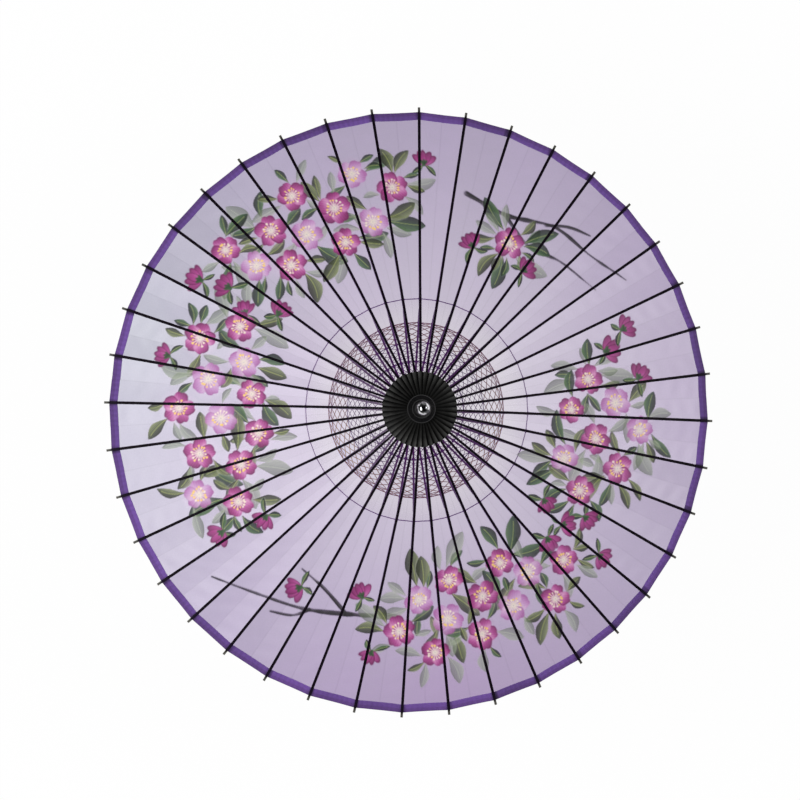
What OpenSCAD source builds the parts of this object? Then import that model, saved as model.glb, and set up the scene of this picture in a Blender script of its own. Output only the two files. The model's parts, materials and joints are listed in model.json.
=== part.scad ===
// Oil paper umbrella, open, with folding bamboo ribs. Millimetres, +Z up.
// The origin is the middle of the handle's lower end, on the shaft's axis.

/* [Ribs] */
// Number of ribs, and of stretchers
rib_count = 40; // [30:2:40]
// Rib length from the hub thread to the tip
rib_length = 430; // [400:1:450]
// Slope of the open ribs below level, in degrees
open_slope = 22; // [20:1:24]
// Slope of the closed ribs below level, in degrees
closed_slope = 87; // [86.5:0.5:87.5]
// Greatest rib width
rib_width = 3.6; // [3:0.1:3.6]
// Rib width at the tip
tip_width = 3.2; // [2.6:0.1:3.4]
// Height of a rib above its thread line
rib_rise = 1.6; // [1.4:0.1:2]
// Depth of a rib below its thread line
rib_drop = 2.8; // [2.4:0.1:3]
// Thickness of the rib's blade inside the hub
rib_blade = 1.6; // [1.3:0.1:1.7]

/* [Stretchers] */
// Distance along the rib from the hub thread to the stretcher joint
rib_joint = 140; // [130:1:150]
// Drop of the open runner's thread below the hub thread
runner_drop = 105; // [95:1:115]
// Stretcher width
stretcher_width = 2.6; // [2:0.1:2.8]
// Half of the stretcher's depth
stretcher_half_depth = 1.9; // [1.6:0.1:2.2]
// Thickness of the stretcher's two end blades
stretcher_blade = 1.3; // [1.1:0.1:1.4]

/* [Hub and runner] */
// Height of the hub thread above the handle's lower end
hub_height = 505; // [495:1:520]
// Radius of the hub thread and of the runner thread
thread_ring_radius = 20; // [20:0.5:22]
// Wall between the thread and the wheel's outer face
wheel_rim = 4; // [3.5:0.5:5]
// Height of the runner's rim above its thread
runner_crown = 5; // [4.5:0.5:6]
// Length of the runner below its thread
runner_skirt = 32; // [28:1:40]
// Height of the hub's top above its thread
hub_crown = 10.5; // [9.5:0.5:12]
// Depth of the hub below its thread
hub_skirt = 9; // [7:0.5:10]

/* [Finial] */
// Height of the shaft's top end above the hub thread
shaft_crown = 31; // [29:0.5:34]
// Height of the finial base's top above the hub thread
finial_base_crown = 36; // [35:0.5:40]
// Radius of the finial base's lower flange
flange_radius = 18.8; // [16.4:0.2:20]
// Radius of the chrome knob
knob_radius = 9.2; // [8.6:0.2:10]

/* [Shaft and handle] */
// Shaft radius
shaft_radius = 6.5; // [6:0.1:7]
// Grip radius
grip_radius = 9.5; // [9:0.1:11]
// Length of the grip's cylinder
grip_length = 78; // [70:1:84]
// Height of the end cap
end_cap_height = 14; // [12:1:16]

/* [Cover] */
// Thickness of the paper cover with its oiled coats
cover_thickness = 0.4; // [0.3:0.05:0.7]
// Length of bare rib past the cover's edge
bare_tip = 8; // [7:1:14]
// Width of the rim tape
tape_width = 12; // [8:1:14]
// Sag of the cover halfway between two ribs, as a share of the radius
cover_sag = 0.005; // [0.002:0.001:0.008]
// Radius of the black cap
cap_radius = 51; // [47:1:58]
// Height of a cap pleat above the fold beside it
pleat_height = 1.4; // [0.8:0.1:1.6]
// Thickness of the cap's paper
cap_thickness = 0.6; // [0.4:0.1:0.8]

/* [Threads] */
// Radius of the lacing threads
lacing_radius = 0.35; // [0.3:0.05:0.45]
// Radius of the binding threads through ribs and stretchers
binding_radius = 0.5; // [0.4:0.05:0.55]

/* [Fits] */
// Side clearance of a blade in its slot
slot_gap = 0.15; // [0.12:0.01:0.2]
// Gap between neighbouring ribs when closed
rib_gap = 0.3; // [0.2:0.05:0.4]
// Radial clearance of the runner on the shaft
runner_gap = 0.35; // [0.3:0.05:0.5]
// Gap between the cover and the ribs, and between layers
layer_gap = 0.3; // [0.25:0.05:0.4]
// Radial glue gap of fixed parts on the shaft
glue_gap = 0.05; // [0.03:0.01:0.1]

/* [Hidden] */
step_angle = 360 / rib_count;
wheel_radius = thread_ring_radius + wheel_rim;
slot_floor = thread_ring_radius - 4.6;
bore_radius = binding_radius + 0.2;
groove_half = binding_radius + 0.3;
neck_end = wheel_rim + 8;
joint_slot = stretcher_blade + 2 * slot_gap;
joint_slot_half = 8;
// the stretcher joint and the runner thread in the open state
joint_radius = thread_ring_radius + rib_joint * cos(open_slope);
joint_height = hub_height - rib_joint * sin(open_slope);
joint_run = joint_radius - thread_ring_radius;
runner_height = hub_height - runner_drop;
stretcher_length = norm([joint_run, joint_height - runner_height]);
stretcher_slope = atan2(joint_height - runner_height, joint_run);
closed_drop = rib_joint * sin(closed_slope);
closed_run = rib_joint * cos(closed_slope);
runner_closed = hub_height - closed_drop - sqrt(pow(stretcher_length, 2) - pow(closed_run, 2));
runner_travel = runner_height - runner_closed;
rib_turn = closed_slope - open_slope;
runner_top = runner_height + runner_crown;
runner_foot = runner_height - runner_skirt;
// the catch under the runner
catch_reach = 34;
catch_pivot_x = 1.5;
catch_pivot_z = runner_foot - layer_gap - catch_reach;
catch_thickness = 2;
catch_pin_radius = 0.8;
catch_slot_back = -shaft_radius + 1.3;
stop_pin_radius = 1.2;
stop_pin_z = runner_top + stop_pin_radius + layer_gap;
// the cover
cover_start = wheel_rim + 4.5;
cover_end = rib_length - bare_tip;
shaft_top = hub_height + shaft_crown;
collar_height = 5;
// roof of the hub's slots, and the neck under the finial's flange
hub_roof = rib_rise + 1.6;
neck_radius = shaft_radius + 5.1;
peg_radius = 3;
knob_height = finial_base_crown + knob_radius + 1.2;
echo(runner_travel = runner_travel, rib_turn = rib_turn, runner_height = runner_height);
echo(joint_radius = joint_radius, joint_height = joint_height, stretcher_slope = stretcher_slope);

function two_digits(n) = n < 10 ? str("0", n) : str(n);
function rib_name(i) = str("rib_", two_digits(i + 1));

// half of a rib's width at distance s, so that closed neighbours stay apart
function rib_half(s) = min(
    rib_width / 2,
    PI * (thread_ring_radius + s * cos(closed_slope) - rib_drop) / rib_count - rib_gap / 2
);

// radius and height of a point at distance s along a rib and lift above its thread line
function rib_radius(s, lift) = thread_ring_radius + s * cos(open_slope) + lift * sin(open_slope);
function rib_level(s, lift) = hub_height - s * sin(open_slope) + lift * cos(open_slope);

// radius and height of a point at distance s along a stretcher
function stretcher_radius(s, lift) =
    thread_ring_radius + s * cos(stretcher_slope) - lift * sin(stretcher_slope);
function stretcher_level(s, lift) =
    runner_height + s * sin(stretcher_slope) + lift * cos(stretcher_slope);

// a point from radius, angle and height
function polar(r, a, z) = [r * cos(a), r * sin(a), z];

// outlines mirrored about the X axis, from the upper side's points
function both_sides(points) = concat(
    points,
    [for (i = [len(points) - 1 : -1 : 0]) [points[i][0], -points[i][1]]]
);

// closed tube along a ring of [radius, angle, height] points, with its
// section drawn in the plane through the axis
module ring_tube(path, half_width, half_height, sides) {
    n = len(path);
    points = [
        for (p = path, k = [0 : sides - 1])
            polar(p[0] + half_width * cos(360 * k / sides), p[1],
                  p[2] + half_height * sin(360 * k / sides))
    ];
    faces = [
        for (i = [0 : n - 1], k = [0 : sides - 1])
            let (j = (i + 1) % n, m = (k + 1) % sides)
            for (turn = [0, 1])
                turn == 0
                    ? [i * sides + k, i * sides + m, j * sides + m]
                    : [i * sides + k, j * sides + m, j * sides + k]
    ];
    polyhedron(points, faces);
}

// closed shell between two stacks of rings; each ring is a list of points, and
// the section runs round the stacked rings
module ring_shell(rings) {
    m = len(rings);
    n = len(rings[0]);
    points = [for (ring = rings) each ring];
    faces = [
        for (k = [0 : m - 1], i = [0 : n - 1])
            let (l = (k + 1) % m, j = (i + 1) % n)
            for (turn = [0, 1])
                turn == 0
                    ? [k * n + i, l * n + j, l * n + i]
                    : [k * n + i, k * n + j, l * n + j]
    ];
    polyhedron(points, faces);
}

// angles of the ribs and of the folds halfway between them
fold_angles = [for (i = [0 : 2 * rib_count - 1]) i * step_angle / 2];
function is_fold(i) = i % 2 == 1;

// ring of cover points at distance s along the ribs and lift above the thread line
function cover_ring(s, lift) = [
    for (i = [0 : 2 * rib_count - 1])
        let (r = rib_radius(s, lift), z = rib_level(s, lift))
        is_fold(i)
            ? polar(r * cos(step_angle / 2), fold_angles[i], z - r * cover_sag)
            : polar(r, fold_angles[i], z)
];

// ring of cap points at a radius and height, raised over each rib
function cap_ring(r, z, rise) = [
    for (i = [0 : 2 * rib_count - 1])
        polar(r, fold_angles[i], z + (is_fold(i) ? 0 : rise))
];

module around() {
    for (i = [0 : rib_count - 1])
        rotate([0, 0, i * step_angle])
            children();
}

// rib with its blade, thread holes and stretcher slot, along +X from the hub thread
module rib_bar() {
    heel = 2.4;
    plan = both_sides([
        [-heel, rib_blade / 2],
        [neck_end, rib_blade / 2],
        [neck_end + 6, rib_half(neck_end + 6)],
        [rib_joint / 2, rib_half(rib_joint / 2)],
        [rib_joint, rib_half(rib_joint)],
        [rib_joint + 40, rib_half(rib_joint + 40)],
        [rib_length, min(tip_width, rib_width) / 2]
    ]);
    side = [
        [-heel, rib_rise - 0.6],
        [-heel + 0.6, rib_rise],
        [rib_length - 0.6, rib_rise],
        [rib_length, rib_rise - 0.5],
        [rib_length, -0.8],
        [rib_joint + 40, -rib_drop],
        [2, -rib_drop],
        [-heel, -1]
    ];
    difference() {
        intersection() {
            rotate([90, 0, 0])
                linear_extrude(height = 2 * rib_width, center = true)
                    polygon(side);
            linear_extrude(height = 4 * rib_drop, center = true)
                polygon(plan);
        }
        for (s = [0, rib_joint])
            translate([s, 0, 0])
                rotate([90, 0, 0])
                    cylinder(r = bore_radius, h = 3 * rib_width, center = true, $fn = 24);
        translate([rib_joint - joint_slot_half, -joint_slot / 2, -2 * rib_drop])
            cube([2 * joint_slot_half, joint_slot, 2 * rib_drop + rib_rise - 0.5]);
    }
}

module rib(i) {
    color("dimgray")
        rotate([0, 0, i * step_angle])
            translate([thread_ring_radius, 0, hub_height])
                rotate([0, open_slope, 0])
                    rib_bar();
}

// stretcher with a blade at each end, along +X from the runner thread
module stretcher_bar() {
    heel = 2.2;
    plan = both_sides([
        [-heel, stretcher_blade / 2],
        [wheel_rim + 5, stretcher_blade / 2],
        [wheel_rim + 10, stretcher_width / 2],
        [stretcher_length - 16, stretcher_width / 2],
        [stretcher_length - 11, stretcher_blade / 2],
        [stretcher_length + 0.75, stretcher_blade / 2]
    ]);
    side = both_sides([
        [-heel, 1.2],
        [wheel_rim + 5, stretcher_half_depth],
        [stretcher_length - 16, stretcher_half_depth],
        [stretcher_length, bore_radius + 0.3],
        [stretcher_length + 0.75, 0.6]
    ]);
    difference() {
        intersection() {
            rotate([90, 0, 0])
                linear_extrude(height = 2 * stretcher_width, center = true)
                    polygon(side);
            linear_extrude(height = 4 * stretcher_half_depth, center = true)
                polygon(plan);
        }
        for (s = [0, stretcher_length])
            translate([s, 0, 0])
                rotate([90, 0, 0])
                    cylinder(r = bore_radius, h = 3 * stretcher_width, center = true, $fn = 24);
    }
}

module stretchers() {
    color("dimgray")
        around()
            translate([thread_ring_radius, 0, runner_height])
                rotate([0, -stretcher_slope, 0])
                    stretcher_bar();
}

// rings of thread drawn through the stretchers, and a zigzag between each two rings
module lacing() {
    stations = stretcher_length * [0.357, 0.557, 0.757];
    lift = 2 * lacing_radius + 0.3;
    ring_angles = [for (i = [0 : rib_count - 1]) i * step_angle];
    color("mediumpurple") {
        for (s = stations)
            ring_tube(
                [for (a = ring_angles) [stretcher_radius(s, 0), a, stretcher_level(s, 0)]],
                lacing_radius, lacing_radius, 5
            );
        for (k = [0 : len(stations) - 2])
            ring_tube(
                [
                    for (i = [0 : rib_count - 1])
                        let (s = i % 2 == 0 ? stations[k] + 1.5 : stations[k + 1] - 1.5)
                        [stretcher_radius(s, lift), ring_angles[i], stretcher_level(s, lift)]
                ],
                2 * lacing_radius, lacing_radius, 5
            );
    }
}

module binding_ring(r, z) {
    ring_tube([for (i = [0 : rib_count - 1]) [r, i * step_angle, z]], binding_radius, binding_radius, 6);
}

module hub_thread() {
    color("black")
        binding_ring(thread_ring_radius, hub_height);
}

module runner_thread() {
    color("black")
        binding_ring(thread_ring_radius, runner_height);
}

module joint_thread() {
    color("indigo")
        binding_ring(joint_radius, joint_height);
}

// slots and thread groove of a notched wheel; the slots run from low to high
module wheel_cuts(low, high, blade) {
    around()
        translate([slot_floor, -blade / 2 - slot_gap, low])
            cube([wheel_radius, blade + 2 * slot_gap, high - low]);
    difference() {
        cylinder(r = wheel_radius + 1, h = 2 * groove_half, center = true, $fn = 96);
        cylinder(r = thread_ring_radius - groove_half, h = 4, center = true, $fn = 96);
    }
}

module top_hub() {
    color("saddlebrown")
        translate([0, 0, hub_height])
            difference() {
                rotate_extrude($fn = 96)
                    polygon([
                        [shaft_radius + glue_gap, -hub_skirt],
                        [wheel_radius - 0.6, -hub_skirt],
                        [wheel_radius, -hub_skirt + 0.6],
                        [wheel_radius, hub_roof + 0.8],
                        [neck_radius + 1, hub_crown],
                        [shaft_radius + glue_gap, hub_crown]
                    ]);
                wheel_cuts(-hub_skirt - 1, hub_roof, rib_blade);
            }
}

module runner() {
    color("saddlebrown")
        translate([0, 0, runner_height])
            difference() {
                rotate_extrude($fn = 96)
                    polygon([
                        [shaft_radius + runner_gap, -runner_skirt],
                        [shaft_radius + 4, -runner_skirt],
                        [shaft_radius + 5, -runner_skirt + 1],
                        [shaft_radius + 5, -runner_skirt + 5],
                        [shaft_radius + 4, -runner_skirt + 6],
                        [shaft_radius + 4, -15],
                        [shaft_radius + 9, -9],
                        [wheel_radius - 0.6, -7],
                        [wheel_radius, -6.4],
                        [wheel_radius, runner_crown],
                        [shaft_radius + runner_gap, runner_crown]
                    ]);
                wheel_cuts(-3.4, runner_crown + 1, stretcher_blade);
            }
}

module shaft() {
    color("saddlebrown")
        difference() {
            translate([0, 0, 5])
                cylinder(r = shaft_radius, h = shaft_top - 5, $fn = 64);
            // slot that takes the catch
            translate([catch_slot_back, -catch_thickness / 2 - slot_gap, catch_pivot_z - 3.5])
                cube([3 * shaft_radius, catch_thickness + 2 * slot_gap, catch_reach + 5]);
            cross_pin(catch_pivot_x, catch_pivot_z, catch_pin_radius + glue_gap, 4 * shaft_radius);
            cross_pin(0, stop_pin_z, stop_pin_radius + glue_gap, 4 * shaft_radius);
        }
}

module cross_pin(x, z, r, length) {
    translate([x, 0, z])
        rotate([90, 0, 0])
            cylinder(r = r, h = length, center = true, $fn = 32);
}

module stop_pin() {
    color("silver")
        cross_pin(0, stop_pin_z, stop_pin_radius, 2 * (shaft_radius + 3.5));
}

module catch_pin() {
    color("silver")
        cross_pin(catch_pivot_x, catch_pivot_z, catch_pin_radius, 2 * shaft_radius - 0.8);
}

// catch blade, with a nose that stands out under the runner
module catch() {
    nose = shaft_radius + 2.7 - catch_pivot_x;
    color("goldenrod")
        translate([catch_pivot_x, 0, catch_pivot_z])
            difference() {
                rotate([90, 0, 0])
                    linear_extrude(height = catch_thickness, center = true)
                        polygon([
                            [-1.5, -2], [1.7, -2], [2.4, 18], [nose, catch_reach - 3],
                            [nose, catch_reach], [-1, catch_reach], [-1.5, 20]
                        ]);
                rotate([90, 0, 0])
                    cylinder(r = catch_pin_radius + 0.1, h = 2 * catch_thickness, center = true, $fn = 32);
            }
}

// leaf spring behind the catch, standing on the back of the slot
module catch_spring() {
    back = catch_slot_back + 0.1;
    tip = catch_pivot_x - 1.5 - 0.35;
    color("silver")
        translate([0, 0, catch_pivot_z])
            rotate([90, 0, 0])
                linear_extrude(height = catch_thickness - 0.4, center = true)
                    polygon([
                        [back, 0], [back + 0.6, 0], [back + 0.6, 6], [tip, 23.4],
                        [tip - 0.5, 24], [back, 6.4]
                    ]);
}

module grip() {
    foot = end_cap_height;
    color("saddlebrown")
        rotate_extrude($fn = 96)
            polygon([
                [shaft_radius + glue_gap, foot],
                [grip_radius, foot],
                [grip_radius, foot + grip_length],
                [shaft_radius + glue_gap, foot + grip_length]
            ]);
}

module grip_collar() {
    foot = end_cap_height + grip_length;
    color("silver")
        rotate_extrude($fn = 96)
            polygon([
                [shaft_radius + glue_gap, foot],
                [grip_radius - 0.3, foot],
                [grip_radius + 0.5, foot + 1],
                [grip_radius + 0.5, foot + collar_height - 2],
                [shaft_radius + 1.2, foot + collar_height],
                [shaft_radius + glue_gap, foot + collar_height]
            ]);
}

module end_cap() {
    color("black")
        rotate_extrude($fn = 96)
            polygon([
                [0, 0],
                [grip_radius - 3, 0],
                [grip_radius - 1, 0.9],
                [grip_radius - 0.2, 2.8],
                [grip_radius - 0.2, end_cap_height - 3],
                [grip_radius - 1, end_cap_height - 2.2],
                [grip_radius - 1, end_cap_height - 1.4],
                [grip_radius - 0.2, end_cap_height - 0.6],
                [grip_radius - 0.2, end_cap_height],
                [shaft_radius + glue_gap, end_cap_height],
                [shaft_radius + glue_gap, 5 - glue_gap],
                [0, 5 - glue_gap]
            ]);
}

module finial_base() {
    foot = hub_crown + glue_gap;
    flange = hub_crown + 4.1;
    top = finial_base_crown;
    color("black")
        translate([0, 0, hub_height])
            rotate_extrude($fn = 96)
                polygon([
                    [shaft_radius + glue_gap, foot],
                    [neck_radius, foot],
                    [neck_radius, flange],
                    [flange_radius - 0.8, flange + 0.3],
                    [flange_radius, flange + 1.4],
                    [flange_radius, flange + 2.4],
                    [flange_radius - 0.8, flange + 3.5],
                    [knob_radius + 3.4, flange + 4.4],
                    [knob_radius + 3.4, flange + 6.2],
                    [knob_radius + 2.6, flange + 7.2],
                    [knob_radius + 0.2, flange + 9.2],
                    [knob_radius - 0.4, top - 8],
                    [knob_radius + 0.4, top - 2.5],
                    [knob_radius + 0.4, top - 1],
                    [knob_radius - 0.4, top],
                    [peg_radius + 0.1, top],
                    [peg_radius + 0.1, shaft_crown + glue_gap],
                    [shaft_radius + glue_gap, shaft_crown + glue_gap]
                ]);
}

module finial_tip() {
    color("silver")
        translate([0, 0, hub_height]) {
            translate([0, 0, shaft_crown + 0.5])
                cylinder(r = peg_radius, h = knob_height - shaft_crown, $fn = 64);
            translate([0, 0, finial_base_crown + glue_gap])
                cylinder(r = 0.8 * knob_radius, h = 3, $fn = 64);
            translate([0, 0, knob_height])
                sphere(r = knob_radius, $fn = 96);
        }
}

// pleated paper cap: a ridge over each rib and a fold between
module cap() {
    shoulder = wheel_radius + 1;
    profile = [
        [neck_radius + 1, hub_crown + 1.1],
        [(neck_radius + shoulder) / 2, (hub_crown + hub_roof) / 2 + 2.1],
        [shoulder, hub_roof + 2.2],
        [shoulder + 9, cap_level(shoulder + 9) + 1],
        [cap_radius, cap_level(cap_radius)]
    ];
    top = [
        for (p = profile)
            cap_ring(p[0], hub_height + p[1] + cap_thickness, pleat_height * p[0] / cap_radius)
    ];
    foot = [
        for (k = [len(profile) - 1 : -1 : 0])
            let (p = profile[k])
            cap_ring(p[0], hub_height + p[1], pleat_height * p[0] / cap_radius)
    ];
    color("black")
        ring_shell(concat(top, foot));
}

// level of the cap at a radius against the hub thread, clear of the cover below it
function cap_level(r) =
    (thread_ring_radius - r) * tan(open_slope)
    + (rib_rise + cover_thickness + 3 * layer_gap) / cos(open_slope);

module canopy() {
    low = rib_rise + layer_gap;
    stations = [cover_start, cover_start + 40, rib_joint + 20, rib_length * 0.66, cover_end];
    top = [for (s = stations) cover_ring(s, low + cover_thickness)];
    foot = [for (k = [len(stations) - 1 : -1 : 0]) cover_ring(stations[k], low)];
    color("lavender")
        ring_shell(concat(top, foot));
}

module rim_tape() {
    low = rib_rise + layer_gap + cover_thickness + 0.1;
    start = cover_end - tape_width;
    color("rebeccapurple")
        ring_shell([
            cover_ring(start, low + 0.4),
            cover_ring(cover_end, low + 0.4),
            cover_ring(cover_end, low),
            cover_ring(start, low)
        ]);
}

shaft();
grip();
grip_collar();
end_cap();
top_hub();
hub_thread();
cap();
finial_base();
finial_tip();
stop_pin();
catch();
catch_pin();
catch_spring();
runner();
runner_thread();
stretchers();
lacing();
joint_thread();
canopy();
rim_tape();
for (i = [0 : rib_count - 1])
    rib(i);
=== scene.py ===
"""Oil paper umbrella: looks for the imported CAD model, in metres and in its frame."""
import json
from math import atan2, cos, hypot, pi, radians, sin, tan

import bpy
import numpy as np
from mathutils import Matrix, Vector


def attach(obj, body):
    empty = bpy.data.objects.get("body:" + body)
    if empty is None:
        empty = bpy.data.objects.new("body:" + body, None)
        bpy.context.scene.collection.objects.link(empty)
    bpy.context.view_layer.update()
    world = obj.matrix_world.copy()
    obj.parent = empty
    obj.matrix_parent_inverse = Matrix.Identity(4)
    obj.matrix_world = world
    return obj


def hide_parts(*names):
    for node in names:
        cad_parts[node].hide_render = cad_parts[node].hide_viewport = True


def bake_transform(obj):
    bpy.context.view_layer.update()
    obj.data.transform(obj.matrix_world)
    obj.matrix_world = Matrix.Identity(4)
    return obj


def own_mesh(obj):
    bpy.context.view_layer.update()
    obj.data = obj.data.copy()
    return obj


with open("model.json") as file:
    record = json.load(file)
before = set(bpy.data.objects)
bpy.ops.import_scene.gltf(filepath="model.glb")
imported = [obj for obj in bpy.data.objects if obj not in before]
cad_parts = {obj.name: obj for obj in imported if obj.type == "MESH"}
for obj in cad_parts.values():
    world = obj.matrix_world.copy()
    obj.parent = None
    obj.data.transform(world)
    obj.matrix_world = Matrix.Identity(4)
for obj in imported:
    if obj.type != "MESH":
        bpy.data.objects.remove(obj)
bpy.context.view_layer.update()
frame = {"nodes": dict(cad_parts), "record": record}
nodes = frame["nodes"]
scene = bpy.context.scene

# Sizes repeated from part.scad, in metres and radians
RIBS = 40
STEP = 2 * pi / RIBS
RING = 0.020  # radius of the hinges of ribs and stretchers
HUB = 0.505  # height of the ribs' hinges
SLOPE = radians(22)
RIB_JOINT = 0.140  # from a rib's hinge to its stretcher
COVER_START = 0.0085  # along a rib
COVER_END = 0.422
COVER_LIFT = 0.0021
TAPE_WIDTH = 0.012
TAPE_LIFT = 0.0026
COVER_SAG = 0.005  # between two ribs, as a share of the radius
RUNNER = 0.400  # height of the stretchers' hinges
JOINT_RADIUS = RING + RIB_JOINT * cos(SLOPE)
JOINT_LEVEL = HUB - RIB_JOINT * sin(SLOPE)
STRETCHER = hypot(JOINT_RADIUS - RING, JOINT_LEVEL - RUNNER)
STRETCHER_SLOPE = atan2(JOINT_LEVEL - RUNNER, JOINT_RADIUS - RING)
INNER, MIDDLE, OUTER = (STRETCHER * share for share in (0.357, 0.557, 0.757))  # lacing
NECK = 0.0116
CAP_RADIUS = 0.051

rng = np.random.default_rng(11)


def place_object(name, data):
    thing = bpy.data.objects.new(name, data)
    scene.collection.objects.link(thing)
    return thing


# Camera and stage: the photo looks down the shaft, a few degrees off it
VIEW_CENTRE = Vector((0, 0, 0.3439))
DISTANCE = 5.0
VIEW_ROLL, VIEW_LEAN = radians(1.75), radians(4.905)
VIEW_SIDE = (-8.272, -2.162)  # of the lean, right and up
LENS, SENSOR = 163.87, 36
PICTURE, SHIFT = 800, (-10.27, 11.80)  # pixels

FILL_COLOUR, FILL = (0.97, 0.98, 1, 1), 0.14
# The white studio as metal shows it: darker overhead and towards -X
OVERHEAD = {"From Min": 0.08, "From Max": 0.62, "To Min": 1.0, "To Max": 0.04}
SIDEWAYS = {"From Min": -0.3, "From Max": 0.45, "To Min": 0.1, "To Max": 1.0}
FLOOR_HALF, FLOOR_LEVEL, FLOOR_GLOW = 14, -0.0005, 0.965
LAMP_AIM = Vector((0, 0, 0.42))
# Each lamp: name, place from the aim, size and power
LAMPS = (
    ("key", (-2.2, -0.45, 2.3), (3.2, 1.5), 97),
    ("fill", (2.3, 0.35, 2.15), (1.9, 1.9), 50),
)


def set_camera():
    right = Vector((cos(VIEW_ROLL), sin(VIEW_ROLL), 0))
    up = Vector((-sin(VIEW_ROLL), cos(VIEW_ROLL), 0))
    side = (right * VIEW_SIDE[0] + up * VIEW_SIDE[1]).normalized()
    back = side * sin(VIEW_LEAN) + Vector((0, 0, cos(VIEW_LEAN)))
    eye = VIEW_CENTRE + DISTANCE * back
    ahead = (VIEW_CENTRE - eye).normalized()
    right = (right - ahead * right.dot(ahead)).normalized()
    up = right.cross(ahead)
    data = bpy.data.cameras.new("camera")
    data.sensor_width = SENSOR
    data.lens = LENS
    data.shift_x = SHIFT[0] / PICTURE
    data.shift_y = SHIFT[1] / PICTURE
    data.clip_end = 60
    camera = place_object("camera", data)
    turn = Matrix((right, up, -ahead)).transposed().to_4x4()
    camera.matrix_world = Matrix.Translation(eye) @ turn
    scene.camera = camera


def add_node(tree, kind, inputs=None, **settings):
    """A new shader node, with sockets linked and other inputs set."""
    node = tree.nodes.new("ShaderNode" + kind)
    for key, value in settings.items():
        setattr(node, key, value)
    for key, value in (inputs or {}).items():
        if isinstance(value, bpy.types.NodeSocket):
            tree.links.new(value, node.inputs[key])
        else:
            node.inputs[key].default_value = value
    return node


def combine(tree, operation, a, b):
    return add_node(tree, "Math", {0: a, 1: b}, operation=operation).outputs[0]


def light_path(tree):
    """1 for camera and transmission rays, and 1 for those and glossy rays, else 0."""
    path = add_node(tree, "LightPath").outputs
    seen = combine(tree, "MAXIMUM", path["Is Camera Ray"], path["Is Transmission Ray"])
    return seen, combine(tree, "MAXIMUM", seen, path["Is Glossy Ray"])


def set_world():
    world = bpy.data.worlds.new("studio")
    scene.world = world
    world.use_nodes = True
    tree = world.node_tree
    tree.nodes.clear()
    seen, shown = light_path(tree)
    place = add_node(tree, "TexCoord").outputs["Generated"]
    parts = add_node(tree, "SeparateXYZ", {0: place}).outputs
    overhead = add_node(tree, "MapRange", {"Value": parts["Z"], **OVERHEAD}).outputs[0]
    sideways = add_node(tree, "MapRange", {"Value": parts["X"], **SIDEWAYS}).outputs[0]
    strength = combine(tree, "MAXIMUM", seen, combine(tree, "MULTIPLY", overhead, sideways))
    white = add_node(tree, "Background", {"Color": (1, 1, 1, 1), "Strength": strength})
    fill = add_node(tree, "Background", {"Color": FILL_COLOUR, "Strength": FILL})
    mix = add_node(tree, "MixShader", {0: shown, 1: fill.outputs[0], 2: white.outputs[0]})
    add_node(tree, "OutputWorld", {0: mix.outputs[0]})


def set_floor():
    signs = ((-1, -1), (1, -1), (1, 1), (-1, 1))
    corners = [(x * FLOOR_HALF, y * FLOOR_HALF, FLOOR_LEVEL) for x, y in signs]
    mesh = bpy.data.meshes.new("floor")
    mesh.from_pydata(corners, [], [(0, 1, 2, 3)])
    floor = place_object("floor", mesh)
    material = bpy.data.materials.new("white_floor")
    material.use_nodes = True
    tree = material.node_tree
    tree.nodes.clear()
    matt = add_node(tree, "BsdfDiffuse", {"Color": (0.95, 0.95, 0.95, 1)})
    glow = add_node(tree, "Emission", {"Strength": 1.0})
    share = combine(tree, "MULTIPLY", light_path(tree)[1], FLOOR_GLOW)
    mix = add_node(tree, "MixShader", {0: share, 1: matt.outputs[0], 2: glow.outputs[0]})
    add_node(tree, "OutputMaterial", {0: mix.outputs[0]})
    mesh.materials.append(material)


def set_lamps():
    for name, offset, size, power in LAMPS:
        data = bpy.data.lights.new(name, "AREA")
        data.shape = "ELLIPSE"
        data.size, data.size_y = size
        data.energy = power
        lamp = place_object(name, data)
        lamp.location = LAMP_AIM + Vector(offset)
        lamp.rotation_euler = Vector(offset).to_track_quat("Z", "Y").to_euler()


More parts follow.
